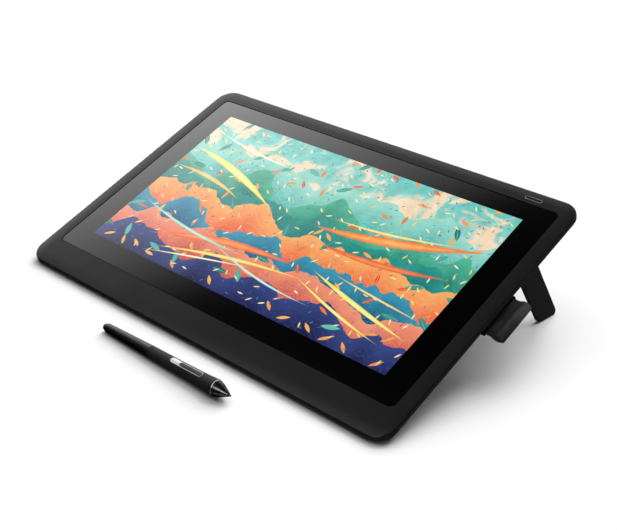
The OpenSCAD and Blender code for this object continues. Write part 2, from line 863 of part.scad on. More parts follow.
module left_leg() { leg(-1); }
module left_leg_sole() { leg_sole(-1); }
module left_leg_pin() { leg_pin(-1); }
module right_leg() { leg(1); }
module right_leg_sole() { leg_sole(1); }
module right_leg_pin() { leg_pin(1); }

// Lens between the two sides of the loop, drawn in by a distance
module loop_lens(inward) {
    intersection() {
        translate([loop_chord / 2, loop_rise - loop_top_r]) circle(loop_top_r - inward);
        translate([loop_chord / 2, loop_low_r - loop_sag]) circle(loop_low_r - inward);
    }
}

// Tape folded into a flat loop: a neck of two layers and a lens that stands open
module pen_loop() {
    color("#1d1d1e") on_table() translate([loop_root, loop_y + loop_l / 2, loop_z]) rotate([90, 0, 0])
        linear_extrude(loop_l) rotate(-loop_droop) difference() {
            union() {
                translate([-neck_in, -tape_t]) square([neck_in + loop_neck + tape_t, 2 * tape_t]);
                translate([loop_neck, 0]) loop_lens(0);
            }
            translate([loop_neck, 0]) loop_lens(tape_t);
        }
}

module pen_loop_tab() {
    color("#181818") on_table() translate([loop_root, loop_y, loop_z]) difference() {
        union() {
            translate([-tab_reach, -tab_l / 2, -tab_h / 2]) cube([tab_reach, tab_l, tab_h]);
            translate([-tab_reach - flange_reach, -tab_l / 2 - flange_reach, -tab_h / 2])
                cube([flange_reach, tab_l + 2 * flange_reach, tab_h]);
        }
        translate([0, loop_l / 2, 0]) rotate([90, 0, 0]) linear_extrude(loop_l) rotate(-loop_droop)
            translate([-neck_in, -tape_t]) square([2 * neck_in, 2 * tape_t]);
    }
}

// Pen's own frame: X from tail to tip, Z towards the switch
module on_pen() {
    translate([pen_x - middle_x, -pen_front - middle_y, pen_lift]) rotate(-pen_turn)
        rotate([0, -pen_lie, 0]) rotate([pen_roll, 0, 0]) children();
}

// A profile of [x, radius] points turned about the pen's axis
module turned(points) {
    rotate([0, 90, 0]) rotate_extrude() polygon([for (p = points) [p[1], p[0]]]);
}

function barrel_r(x) =
    pen_tail_r + (pen_seam_r - pen_tail_r) * (x - pen_tail_x) / (pen_seam_x - pen_tail_x);

function grip_r(x) =
    let (t = (x - pen_seam_x) / (pen_flare_x - pen_seam_x))
    pen_seam_r + (pen_flare_r - pen_seam_r) * (0.5 * t + 0.5 * pow(t, 6));

function grip_line(swell) = [for (i = [0:grip_steps])
    let (x = pen_seam_x + (pen_flare_x - pen_seam_x) * i / grip_steps) [x, grip_r(x) + swell]];

// Grip surface, swollen by a distance, as a solid
module grip_solid(swell) {
    turned(concat([[pen_seam_x, 0]], grip_line(swell), [[pen_flare_x, 0]]));
}

module pen_barrel() {
    color("#161617") on_pen() difference() {
        union() {
            turned([[pen_tail_x - 2, 0], [pen_tail_x - 2, pen_tail_r - 1],
                [pen_tail_x - 1.4, pen_tail_r - 0.4], [pen_tail_x, pen_tail_r],
                [pen_seam_x, pen_seam_r], [pen_seam_x, 0]]);
            intersection() {
                turned([[pen_tail_x, 0], [pen_tail_x, barrel_r(pen_tail_x) + spine_h],
                    [pen_seam_x, barrel_r(pen_seam_x) + spine_h], [pen_seam_x, 0]]);
                translate([0, -spine_w / 2, 0]) cube([pen_l, spine_w, 2 * pen_flare_r]);
            }
        }
        turned([[0, 0], [0, pen_bore_r], [pen_seam_x + 1, pen_bore_r], [pen_seam_x + 1, 0]]);
    }
}

// Bar outline of the switch, cut down into the pen from above
module switch_bar(from, l, w, low) {
    translate([from + l / 2, 0]) between(low, 2 * pen_flare_r) pill(l, w);
}

module pen_grip() {
    color("#2a2a2b") on_pen() difference() {
        turned(concat([[pen_seam_x, 0]], grip_line(0),
            [[pen_flare_x + 1, pen_flare_r - 0.2], [pen_flare_x + 1, 0]]));
        turned([[0, 0], [0, grip_bore_r], [pen_l, grip_bore_r], [pen_l, 0]]);
        switch_bar(surround_x, surround_l, surround_w, 0);
    }
}

module pen_core() {
    color("#3c3d40") on_pen() difference() {
        turned([[eraser_stop + 1, 0], [eraser_stop + 1, eraser_r], [pen_seam_x, eraser_r],
            [pen_seam_x, core_r], [pen_flare_x + 1, core_r], [nose_x, spigot_r],
            [nose_x + spigot_l, spigot_r], [nose_x + spigot_l, 0]]);
        turned([[nose_x - nib_back, 0], [nose_x - nib_back, nib_r + nib_gap],
            [pen_l, nib_r + nib_gap], [pen_l, 0]]);
    }
}

module pen_surround() {
    color("#c3c5c7") on_pen() difference() {
        intersection() {
            grip_solid(surround_proud);
            switch_bar(surround_x, surround_l, surround_w - 0.1, surround_seat);
        }
        switch_bar(rocker_end - rocker_l - rocker_gap, rocker_l + rocker_gap + outline_w / 4,
            rocker_w, surround_seat - 1);
    }
}

module pen_rocker() {
    color("#1c1c1d") on_pen() {
        difference() {
            intersection() {
                grip_solid(rocker_proud);
                switch_bar(rocker_x - rocker_l / 2, rocker_l - rocker_gap,
                    rocker_w - 2 * rocker_gap, rocker_under);
            }
            translate([rocker_x, 0, grip_r(rocker_x) + rocker_proud + 0.5])
                rotate([90, 0, 0]) cylinder(h = surround_w, r = 0.9, center = true);
        }
        intersection() {
            translate([rocker_x, 0, rocker_under]) rotate([90, 0, 0])
                cylinder(h = rocker_w - 4 * rocker_gap, r = rocker_rib_r, center = true);
            translate([0, -pen_flare_r, core_r + saddle_gap])
                cube([pen_l, 2 * pen_flare_r, pen_flare_r]);
        }
    }
}

module pen_ring() {
    color("#d2d3d5") on_pen() turned([[nose_x - ring_l, core_r + 0.1],
        [nose_x - ring_l, pen_flare_r - 0.15], [nose_x, nose_r + 0.1], [nose_x, core_r + 0.1]]);
}

// Radius of the nose: a cone that swells a little
function nose_line(x) =
    let (t = (x - nose_x) / nose_l)
    nose_r + (nose_tip_r - nose_r) * t + nose_bulge * sin(180 * t);

module pen_nose() {
    color("#1b1b1c") on_pen() difference() {
        turned(concat([[nose_x, 0]],
            [for (i = [0:arc_steps]) let (x = nose_x + nose_l * i / arc_steps) [x, nose_line(x)]],
            [[nose_x + nose_l, 0]]));
        turned([[nose_x - 1, 0], [nose_x - 1, spigot_r + 0.05],
            [nose_x + spigot_l, spigot_r + 0.05], [nose_x + spigot_l, 0]]);
        turned([[nose_x, 0], [nose_x, nib_r + nib_gap], [pen_l, nib_r + nib_gap], [pen_l, 0]]);
        turned([[nose_groove_x, nose_line(nose_groove_x) - 0.25], [nose_groove_x, pen_flare_r],
            [nose_groove_x + 0.4, pen_flare_r], [nose_groove_x + 0.4, nose_line(nose_groove_x) - 0.25]]);
    }
}

module pen_nib() {
    nib_start = nose_x - nib_back + nib_travel + 0.1;
    color("#101010") on_pen() turned([[nib_start, 0], [nib_start, nib_r], [pen_l - nib_r, nib_r],
        [pen_l - nib_r / 4, nib_r * 0.7], [pen_l, nib_r * 0.3], [pen_l, 0]]);
}

module pen_eraser() {
    color("#121213") on_pen() turned(concat([[0, 0]],
        [for (a = [0:15:90]) [eraser_r * 0.6 * (1 - cos(a)), eraser_r * (0.35 + 0.65 * sin(a))]],
        [[eraser_stop, eraser_r], [eraser_stop, 0]]));
}

front_frame();
cover_glass();
glass_tape();
lcd_cell();
backlight();
panel_tray();
digitiser_board();
shield_plate();
chassis_plate();
chassis_screws();
main_board();
board_chips();
board_screws();
panel_ribbon();
digitiser_ribbon();
port_socket();
power_button();
button_ring();
button_board();
button_switch();
rear_cover();
cable_cover();
case_screws();
front_feet();
back_feet();
left_leg();
left_leg_sole();
left_leg_pin();
right_leg();
right_leg_sole();
right_leg_pin();
pen_loop();
pen_loop_tab();
pen_barrel();
pen_grip();
pen_core();
pen_surround();
pen_rocker();
pen_ring();
pen_nose();
pen_nib();
pen_eraser();
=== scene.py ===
"""Looks of a pen display on two fold-out legs, with its pen in front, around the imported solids.

Everything is in metres, in the frame of the solids: X to the right, Y to the back, Z up from the table.
"""

import json
import math

import bmesh
import bpy
from mathutils import Matrix, Quaternion, Vector

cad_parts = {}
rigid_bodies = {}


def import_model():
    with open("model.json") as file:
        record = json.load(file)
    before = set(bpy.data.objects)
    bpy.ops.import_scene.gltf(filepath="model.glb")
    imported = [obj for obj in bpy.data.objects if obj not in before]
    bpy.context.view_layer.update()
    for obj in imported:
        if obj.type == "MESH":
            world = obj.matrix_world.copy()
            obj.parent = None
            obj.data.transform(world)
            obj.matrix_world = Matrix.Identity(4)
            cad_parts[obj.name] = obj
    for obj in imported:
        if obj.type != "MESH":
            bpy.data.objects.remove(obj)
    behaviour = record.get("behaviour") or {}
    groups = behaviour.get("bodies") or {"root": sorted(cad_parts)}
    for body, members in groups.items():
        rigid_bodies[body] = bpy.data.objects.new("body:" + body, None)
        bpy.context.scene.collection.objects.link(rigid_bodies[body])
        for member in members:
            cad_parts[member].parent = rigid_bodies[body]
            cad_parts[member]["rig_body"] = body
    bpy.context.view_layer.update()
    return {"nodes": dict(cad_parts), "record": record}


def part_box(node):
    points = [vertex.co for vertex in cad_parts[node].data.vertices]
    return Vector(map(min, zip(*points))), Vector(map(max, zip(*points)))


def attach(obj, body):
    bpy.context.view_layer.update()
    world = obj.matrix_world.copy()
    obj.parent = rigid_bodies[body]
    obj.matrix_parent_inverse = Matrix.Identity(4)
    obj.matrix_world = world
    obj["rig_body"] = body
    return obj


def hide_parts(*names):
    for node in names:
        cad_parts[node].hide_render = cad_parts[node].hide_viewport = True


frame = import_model()
nodes = frame["nodes"]

MM = 0.001


# Frame of the tablet: X across, Y to the back, Z out of the bezel's face

TILT = math.radians(19)
# Cover glass: width, depth, thickness, corner radius, place and how far it lies below the bezel's face
GLASS_W, GLASS_D, GLASS_T, GLASS_R = 394.8 * MM, 237 * MM, 1.5 * MM, 5.7 * MM
GLASS_Y, GLASS_SINK = 6.7 * MM, 0.4 * MM
# Lit picture: width, depth and place
PICTURE_W, PICTURE_D, PICTURE_Y = 346.4 * MM, 194.9 * MM, 8.2 * MM

glass_low, glass_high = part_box("cover_glass")
glass_middle = Vector((0, GLASS_Y, -GLASS_SINK - GLASS_T / 2))
slope = Matrix.Rotation(TILT, 4, "X")
TABLET = Matrix.Translation((glass_low + glass_high) / 2 - slope @ glass_middle) @ slope


# Materials

def linear(hex_colour):
    """sRGB hex to linear RGBA."""
    parts = [int(hex_colour[i:i + 2], 16) / 255 for i in (1, 3, 5)]
    return [c / 12.92 if c <= 0.04045 else ((c + 0.055) / 1.055) ** 2.4 for c in parts] + [1]


def add(tree, kind, settings=(), *values, **sockets):
    """Adds a node and returns its first output. Links or plain values fill its inputs, in order or by name."""
    made = tree.nodes.new("ShaderNode" + kind)
    for name, value in dict(settings).items():
        setattr(made, name, value)
    pairs = list(zip([s for s in made.inputs if s.enabled], values))
    pairs += [(made.inputs[name.replace("_", " ")], value) for name, value in sockets.items()]
    for socket, value in pairs:
        if isinstance(value, bpy.types.NodeSocket):
            tree.links.new(value, socket)
        else:
            socket.default_value = value
    return next((s for s in made.outputs if s.enabled), None)


def finish(name):
    """Empty node material with a Principled shader: returns the material, its tree and the shader's inputs."""
    made = bpy.data.materials.new(name)
    made.use_nodes = True
    tree = made.node_tree
    tree.nodes.clear()
    shader = add(tree, "BsdfPrincipled")
    add(tree, "OutputMaterial", {}, shader)
    return made, tree, shader.node.inputs


USED = 0.3, 0.7  # Range of a noise texture's values that a pattern spreads over
WIPED = 0.03  # How much smoother or rougher a wiped or dusty area is than the rest


def moulded(name, low, high, rough, grain, relief, specular=0.5, patch=35):
    """Moulded plastic or rubber. Grain and relief in mm are the tool's texture, patch the size of the wiped areas.

    A mould's real grain is about 0.1 mm; it is drawn at 0.3 mm or more so that it shows.
    """
    made, tree, inputs = finish(name)
    place = add(tree, "TexCoord").node.outputs["Object"]
    pits = add(tree, "TexNoise", {}, place, Scale=1 / (grain * MM), Detail=3, Roughness=0.55)
    bump = add(tree, "Bump", {}, Height=pits, Strength=1, Distance=relief * MM)
    tree.links.new(bump, inputs["Normal"])
    wiped = add(tree, "TexNoise", {}, place, Scale=1 / (patch * MM), Detail=4, Roughness=0.6)
    spread = add(tree, "MapRange", {}, wiped, *USED, 0, 1)
    tint = add(tree, "Mix", {"data_type": "RGBA"}, spread, linear(low), linear(high))
    tree.links.new(tint, inputs["Base Color"])
    tree.links.new(add(tree, "MapRange", {}, wiped, *USED, rough + WIPED, rough - WIPED), inputs["Roughness"])
    inputs["Specular IOR Level"].default_value = specular
    return made


MARK_STRETCH = 0.04  # Width of a rolling mark for its length
MARK_ROUGH, MARK_RELIEF = 0.06, 0.02 * MM


def rolled(name, low, high, rough, line, metallic=1.0):
    """Rolled or plated metal. Line is the spacing of the marks in mm, which run across the part.

    Real marks are about 0.1 mm apart; they are drawn at 0.3 to 1.2 mm so that they show.
    """
    made, tree, inputs = finish(name)
    place = add(tree, "TexCoord").node.outputs["Object"]
    drawn = add(tree, "Mapping", {}, place, Scale=(MARK_STRETCH, 1, 1))
    marks = add(tree, "TexNoise", {}, drawn, Scale=1 / (line * MM), Detail=4, Roughness=0.6)
    tint = add(tree, "Mix", {"data_type": "RGBA"}, marks, linear(low), linear(high))
    tree.links.new(tint, inputs["Base Color"])
    spread = add(tree, "MapRange", {}, marks, *USED, rough - MARK_ROUGH, rough + MARK_ROUGH)
    tree.links.new(spread, inputs["Roughness"])
    tree.links.new(add(tree, "Bump", {}, Height=marks, Strength=1, Distance=MARK_RELIEF), inputs["Normal"])
    inputs["Metallic"].default_value = metallic
    return made


TRACKS_PER_CELL, TRACK_RELIEF = 6, 0.05 * MM
TRACK_ROW, TRACK_EDGE = 0.09, (0.045, 0.06)  # In cells: half a pitch, and where the copper starts and is full


def circuit(name, mask, copper, pitch):
    """Circuit board or ribbon: a film or solder mask over copper tracks.

    Pitch is in mm, drawn at 0.5 to 1.6 mm so that the tracks show; real ones are nearer 0.2 mm.
    """
    made, tree, inputs = finish(name)
    place = add(tree, "TexCoord").node.outputs["Object"]
    tracks = add(
        tree, "TexVoronoi", {"distance": "MANHATTAN", "feature": "F1"}, place,
        Scale=1 / (TRACKS_PER_CELL * pitch * MM), Randomness=0.8,
    )
    rows = add(tree, "Math", {"operation": "PINGPONG"}, tracks, TRACK_ROW)
    lit = add(tree, "MapRange", {}, rows, *TRACK_EDGE, 0, 1)
    tint = add(tree, "Mix", {"data_type": "RGBA"}, lit, linear(mask), linear(copper))
    tree.links.new(tint, inputs["Base Color"])
    tree.links.new(add(tree, "Bump", {}, Height=lit, Strength=1, Distance=TRACK_RELIEF), inputs["Normal"])
    inputs["Roughness"].default_value = 0.35
    return made


# The picture is drawn on a field of 16 by 9 units
FIELD = (16, 9, 0)
LEAF_EDGE, PAINT_EDGE = 0.02, 0.03  # Width of the soft edge of a leaf, and of a hill or stroke
# Heights between which the sky darkens, and noise at which a cloud starts and is full
SKY, CLOUD = (5, 9), (0.50, 0.60)
# How far the grain bends a hill's bands, and depths between which its foot colour mixes in
HILL_BEND, HILL_SHADE = 1.2, (0.5, 2.2)
# Spacing of the fine lines on a hill, where each starts, and its share
HAIR, HAIR_START, HAIR_SHARE = 0.16, 0.125, 0.7
VEIN, VEIN_SHARE = (0.25, 0.1), 0.6  # Half widths of a leaf at which its vein starts and is full, and its share
STROKE_CORE = 0.8  # Part of a stroke's half width over which it lightens
GRAIN, GRAIN_SHARE = (0.25, 0.75, 0.2, 0.8), 0.45  # Range of the paper's grain, its greys, and its share
# Hills of the picture, back to front: height, swell, pace, seed, crest and foot colours
WAVES = (
    (7.2, 1.5, 0.34, 3.1, "#9fdccb", "#5cb8b0"),
    (5.9, 1.6, 0.42, 11.7, "#54b795", "#1f7f74"),
    (5.0, 1.3, 0.38, 27.3, "#2f9a8c", "#1b6a70"),
    (4.3, 1.7, 0.30, 5.9, "#f7b56a", "#ee6a48"),
    (3.2, 1.5, 0.46, 41.2, "#3f9bb4", "#1c4f78"),
    (2.3, 1.5, 0.36, 17.6, "#f39a78", "#c9504c"),
    (1.2, 1.3, 0.40, 33.8, "#3a4a86", "#1d1f48"),
)
# Brush strokes: start, end, height at the start, slope, bend, half width, edge and middle colours
STROKES = (
    (0.0, 6.2, 6.6, -0.10, -0.030, 0.20, "#f2dc5c", "#fdf3a0"),
    (0.0, 4.6, 5.2, 0.10, -0.050, 0.12, "#f7a94c", "#fdd88a"),
    (0.4, 5.6, 7.9, -0.22, 0.020, 0.08, "#fbe9a8", "#fffbe0"),
    (2.2, 9.4, 1.2, 0.42, -0.030, 0.22, "#ee5a3c", "#fba25c"),
    (3.0, 10.4, 0.7, 0.34, -0.018, 0.10, "#f8c94a", "#fdf08a"),
    (2.6, 8.2, 0.3, 0.30, -0.006, 0.06, "#f6e27a", "#fffbd0"),
    (8.6, 15.9, 4.9, 0.10, 0.022, 0.26, "#ef6a3e", "#fbb868"),
    (9.4, 15.4, 4.2, -0.06, 0.030, 0.16, "#e24a3a", "#f98e54"),
    (8.9, 15.0, 5.6, 0.02, 0.026, 0.08, "#f8c24c", "#fdf0a0"),
    (10.2, 15.8, 2.9, -0.30, 0.012, 0.12, "#f0d93e", "#fdf6a4"),
    (9.8, 15.0, 2.3, -0.36, 0.020, 0.08, "#f0d93e", "#fdf6a4"),
    (11.0, 15.9, 3.1, -0.12, 0.004, 0.06, "#f4b54a", "#fde9a0"),
    (5.2, 11.6, 2.2, -0.34, 0.030, 0.07, "#7fd0c0", "#d8f4e4"),
    (0.2, 7.4, 2.9, -0.28, 0.024, 0.09, "#6cc4bc", "#cdeee0"),
)
# Drifting leaves: cells and jitter of their spread, half length and half width, shift, share of cells, colours
LEAVES = (
    (0.62, 0.55, 0.42, 0.13, 3.7, 0.55, "#1d6f6c", "#63bfae"),
    (0.95, 0.60, 0.30, 0.085, 8.3, 0.50, "#d8402f", "#f9b95e"),
    (1.70, 0.65, 0.17, 0.045, 1.9, 0.45, "#f2cf52", "#fff3c4"),
    (2.60, 0.70, 0.11, 0.030, 5.1, 0.40, "#24356e", "#5e8fc0"),
)


def picture(tree):
    """Colour of the lit screen: painted hills under a clouded sky, with drifting leaves and long brush strokes."""
    sheet = add(tree, "UVMap", {"uv_map": "picture"})
    across = add(tree, "SeparateXYZ", {}, sheet)
    lit = [
        add(tree, "Math", {"operation": "COMPARE"}, across.node.outputs[axis], 0.5, 0.5) for axis in ("X", "Y")
    ]
    place = add(tree, "VectorMath", {"operation": "MULTIPLY"}, sheet, FIELD)
    x = add(tree, "SeparateXYZ", {}, place)
    y = x.node.outputs["Y"]
    rough = add(tree, "TexNoise", {"noise_dimensions": "2D"}, place, Scale=1.6, Detail=8, Roughness=0.62)
    rise = add(tree, "MapRange", {}, y, *SKY, 0, 1)
    paint = add(tree, "Mix", {"data_type": "RGBA"}, rise, linear("#b9e2cf"), linear("#63c4bd"))
    puffs = add(
        tree, "TexNoise", {"noise_dimensions": "2D"}, place, Scale=0.62, Detail=9, Roughness=0.6, Distortion=0.7
    )
    veil = add(tree, "MapRange", {}, puffs, *CLOUD, 0, 1)
    paint = add(tree, "Mix", {"data_type": "RGBA"}, veil, paint, linear("#f6dcbd"))
    for height, swell, pace, seed, crest, foot in WAVES:
        along = add(tree, "Math", {"operation": "MULTIPLY_ADD"}, x, pace, seed)
        swing = add(tree, "TexNoise", {"noise_dimensions": "1D"}, W=along, Scale=1, Detail=5, Roughness=0.42)
        top = add(tree, "Math", {"operation": "MULTIPLY_ADD"}, swing, 2 * swell, height - swell)
        depth = add(tree, "Math", {"operation": "SUBTRACT"}, top, y)
        bent = add(tree, "Math", {"operation": "MULTIPLY_ADD"}, rough, HILL_BEND, depth)
        shade = add(tree, "MapRange", {}, bent, *HILL_SHADE, 0, 1)
        tone = add(tree, "Mix", {"data_type": "RGBA"}, shade, linear(crest), linear(foot))
        comb = add(tree, "Math", {"operation": "PINGPONG"}, bent, HAIR)
        hairs = add(tree, "MapRange", {}, comb, HAIR_START, HAIR, 0, HAIR_SHARE)
        tone = add(tree, "Mix", {"data_type": "RGBA"}, hairs, tone, linear(crest))
        cover = add(tree, "MapRange", {}, depth, 0, PAINT_EDGE, 0, 1)
        paint = add(tree, "Mix", {"data_type": "RGBA"}, cover, paint, tone)
    for cells, jitter, length, width, shift, share, dark, pale in LEAVES:
        moved = add(tree, "VectorMath", {"operation": "ADD"}, place, (shift, 2 * shift, 0))
        cell = add(tree, "TexVoronoi", {"voronoi_dimensions": "2D"}, moved, Scale=cells, Randomness=jitter).node
        chance = add(tree, "SeparateColor", {}, cell.outputs["Color"]).node
        away = add(tree, "VectorMath", {"operation": "SUBTRACT"}, moved, cell.outputs["Position"])
        angle = add(tree, "Math", {"operation": "MULTIPLY"}, chance.outputs["Red"], 2 * math.pi)
        turned = add(tree, "VectorRotate", {"rotation_type": "Z_AXIS"}, away, Angle=angle)
        stem = add(tree, "SeparateXYZ", {}, turned)
        reach = add(tree, "Math", {"operation": "MULTIPLY"}, stem, 1 / length)
        blunt = add(tree, "Math", {"operation": "MULTIPLY"}, reach, reach)
        half = add(tree, "Math", {"operation": "MULTIPLY_ADD"}, blunt, -width, width)
        aside = add(tree, "Math", {"operation": "ABSOLUTE"}, stem.node.outputs["Y"])
        left = add(tree, "Math", {"operation": "SUBTRACT"}, half, aside)
        drawn = add(tree, "MapRange", {}, left, 0, LEAF_EDGE, 0, 1)
        grown = add(tree, "Math", {"operation": "LESS_THAN"}, chance.outputs["Green"], share)
        cover = add(tree, "Math", {"operation": "MULTIPLY"}, drawn, grown)
        tone = add(tree, "Mix", {"data_type": "RGBA"}, chance.outputs["Blue"], linear(dark), linear(pale))
        vein = add(tree, "MapRange", {}, aside, *(part * width for part in VEIN), 0, VEIN_SHARE)
        tone = add(tree, "Mix", {"data_type": "RGBA"}, vein, tone, linear(pale))
        paint = add(tree, "Mix", {"data_type": "RGBA"}, cover, paint, tone)
    for start, end, height, slope, bend, half, edge, core in STROKES:
        run = add(tree, "Math", {"operation": "SUBTRACT"}, x, start)
        lean = add(tree, "Math", {"operation": "MULTIPLY_ADD"}, run, bend, slope)
        line = add(tree, "Math", {"operation": "MULTIPLY_ADD"}, run, lean, height)
        off = add(tree, "Math", {"operation": "SUBTRACT"}, y, line)
        part = add(tree, "MapRange", {}, run, 0, end - start, 0, math.pi)
        swell = add(tree, "Math", {"operation": "SINE"}, part)
        wide = add(tree, "Math", {"operation": "MULTIPLY"}, swell, half)
        away = add(tree, "Math", {"operation": "ABSOLUTE"}, off)
        left = add(tree, "Math", {"operation": "SUBTRACT"}, wide, away)
        cover = add(tree, "MapRange", {}, left, 0, PAINT_EDGE, 0, 1)
        body = add(tree, "MapRange", {}, left, 0, half * STROKE_CORE, 0, 1)
        tone = add(tree, "Mix", {"data_type": "RGBA"}, body, linear(edge), linear(core))
        paint = add(tree, "Mix", {"data_type": "RGBA"}, cover, paint, tone)
    grain = add(tree, "MapRange", {}, rough, *GRAIN)
    paint = add(tree, "Mix", {"data_type": "RGBA", "blend_type": "OVERLAY"}, GRAIN_SHARE, paint, grain)
    inside = add(tree, "Math", {"operation": "MULTIPLY"}, *lit)
    return add(tree, "Mix", {"data_type": "RGBA"}, inside, linear("#000000"), paint)


ETCH, ETCH_ROUGH = 0.9 * MM, (0.07, 0.1)  # The real pits are far finer; drawn coarse enough to show


def etched_glass():
    """Chemically etched cover glass, printed black underneath: a soft sheen over black, and the lit picture."""
    made, tree, inputs = finish("etched_cover_glass")
    place = add(tree, "TexCoord").node.outputs["Object"]
    etch = add(tree, "TexNoise", {}, place, Scale=1 / ETCH, Detail=2, Roughness=0.5)
    tree.links.new(add(tree, "MapRange", {}, etch, *USED, *ETCH_ROUGH), inputs["Roughness"])
    inputs["Base Color"].default_value = linear("#020203")
    inputs["IOR"].default_value = 1.5
    tree.links.new(picture(tree), inputs["Emission Color"])
    inputs["Emission Strength"].default_value = 1.0
    return made


# Threads are 0.35 mm apart on the real tape; drawn at 0.8 mm so that they show
THREAD, KNOT = 0.8 * MM, 0.06 * MM


def woven_tape():
    """Woven nylon tape: ribs of thread across the tape, which dull the black and break it up; its colour is
    painted shade in the pits of the weave and painted light on its raised knots.
    """
    made, tree, inputs = finish("woven_nylon_tape")
    sheet = add(tree, "UVMap", {"uv_map": "weave"})
    turns = add(tree, "VectorMath", {"operation": "SCALE"}, sheet, Scale=2 * math.pi / THREAD)
    warp = add(tree, "SeparateXYZ", {}, turns)
    ribs = [
        add(tree, "Math", {"operation": "SINE"}, warp.node.outputs[axis]) for axis in ("X", "Y")
    ]
    knots = add(tree, "Math", {"operation": "MULTIPLY"}, *ribs)
    tree.links.new(add(tree, "Bump", {}, Height=knots, Strength=1, Distance=KNOT), inputs["Normal"])
    # Painted light and shade: the colour follows the weave's height, paler on the raised knots and darker in the
    # pits.
    shade = add(tree, "MapRange", {}, knots, -1, 1, 0, 1)
    tint = add(tree, "Mix", {"data_type": "RGBA"}, shade, linear("#0b0b0c"), linear("#19191a"))
    tree.links.new(tint, inputs["Base Color"])
    inputs["Roughness"].default_value = 0.6
    inputs["Specular IOR Level"].default_value = 0.3
    return made


# Black ABS from a finely textured tool: satin, so that it only brightens towards a light
bezel_plastic = moulded("moulded_bezel_abs", "#151516", "#181819", 0.23, 0.7, 0.006, 0.1)
# The same ABS with the coarser texture of the walls, and a paler grey than the face's that is painted light
# standing in for the table's reflection: an even dark grey without a mirror image
wall_plastic_painted_paler = moulded("spark_textured_wall_abs_painted_paler", "#1f1f20", "#242425", 0.55, 0.9, 0.02, 0.1)
# Black ABS from a spark-eroded tool: matt, with a grain that can be felt
rear_plastic = moulded("spark_textured_rear_abs", "#1e1e1f", "#232324", 0.58, 1.0, 0.03, 0.2)
# Glass-filled nylon: a dull skin, slightly uneven in tone
leg_plastic = moulded("moulded_leg_nylon", "#202021", "#252526", 0.5, 0.8, 0.015, 0.12)
# Soft rubber: the darkest and dullest of the blacks, with a dusty patchiness
foot_rubber = moulded("moulded_foot_rubber", "#0d0d0d", "#161616", 0.85, 0.9, 0.03, 0.3)
# Satin ABS like the bezel's, a little smoother from use
button_plastic = moulded("satin_button_abs", "#0e0e0f", "#121213", 0.24, 0.5, 0.006, 0.1)
# Frosted acrylic, unlit: a thin grey outline
light_pipe = moulded("frosted_light_pipe", "#6e7274", "#808486", 0.35, 0.4, 0.005, 0.2)
# Nylon from a polished tool: a faint sheen on its rounded edges
tab_plastic = moulded("moulded_tab_nylon", "#0b0b0c", "#101011", 0.5, 0.7, 0.012, 0.15)
# Polished ABS: a clear bright band along the top, deep black below it
barrel_plastic = moulded("polished_barrel_abs", "#090909", "#0c0c0d", 0.28, 0.8, 0.002, 0.22, 20)
# Soft-touch rubber: a dull black that lightens only along the top
grip_rubber = moulded("soft_touch_grip_rubber", "#1a1a1b", "#1f1f20", 0.52, 0.6, 0.012, 0.1)
# Glass-filled nylon, grey: matt, with fine flow marks
core_plastic = moulded("glass_filled_core_nylon", "#2c2d30", "#3a3b3e", 0.5, 0.8, 0.01)
# Satin ABS: a quiet sheen beside the silver round it
rocker_plastic = moulded("satin_rocker_abs", "#101011", "#161617", 0.4, 0.5, 0.01, 0.2)
# Polished ABS: one sharp streak of light from the ring to the tip
nose_plastic = moulded("polished_nose_abs", "#0a0a0b", "#0f0f10", 0.2, 0.8, 0.002, 0.35, 12)
# Acetal: dull and waxy, scuffed by the glass
nib_plastic = moulded("acetal_nib", "#0e0e0e", "#181818", 0.55, 0.3, 0.006, 0.3)
# Silver lacquer on ABS: a bright metal tone without sharp reflections
silver_lacquer = rolled("silver_lacquered_abs", "#85878a", "#a0a2a4", 0.34, 0.6, 0.75)
# Galvanised steel sheet: pale grey with long rolling marks
panel_steel = rolled("galvanised_tray_steel", "#a5a9ac", "#c0c4c6", 0.42, 1.2)
# Rolled aluminium: lighter and smoother than the steel
shield_foil = rolled("rolled_shield_aluminium", "#b9bbbd", "#d3d5d6", 0.36, 0.8)
# Zinc-plated steel sheet: a cool mid grey
chassis_steel = rolled("plated_chassis_steel", "#8f9396", "#aaaeb0", 0.4, 1.0)
# Zinc-plated screws: small bright glints
screw_steel = rolled("zinc_plated_screws", "#8c8f92", "#b6b9bb", 0.32, 0.4)
# Ground steel: nearly polished, with fine grinding lines
pin_steel = rolled("ground_pin_steel", "#9a9da0", "#c4c7c9", 0.25, 0.3)
# Nickel plate: a warm, fairly sharp shine
socket_nickel = rolled("nickel_plated_socket", "#a09b92", "#c2bdb3", 0.28, 0.5)
# Green solder mask: glossy, with the copper tracks showing paler through it
panel_board = circuit("digitiser_board_mask", "#123d2a", "#2c6b45", 1.6)
main_board_mask = circuit("main_board_mask", "#0f3524", "#2d6f4a", 0.8)
# Polyimide film: dark amber, with paler copper lines
ribbon_film = circuit("polyimide_ribbon_film", "#8a4a12", "#b8752c", 0.5)
# Moulded epoxy: flat dark grey
chip_epoxy = moulded("moulded_chip_epoxy", "#141415", "#1f1f20", 0.6, 0.4, 0.01)
# Foam tape: black and without any shine
bond_tape = moulded("black_foam_bond_tape", "#0a0a0a", "#121212", 0.9, 0.5, 0.05, 0.1)
# Polariser film: a smooth, almost black mirror
panel_film = moulded("polariser_film", "#101116", "#181a20", 0.12, 2.0, 0.001)
# Diffuser film: milky white
light_guide = moulded("white_diffuser_film", "#dcdcd6", "#ecece6", 0.5, 1.0, 0.004)
cover_glass = etched_glass()
loop_tape = woven_tape()

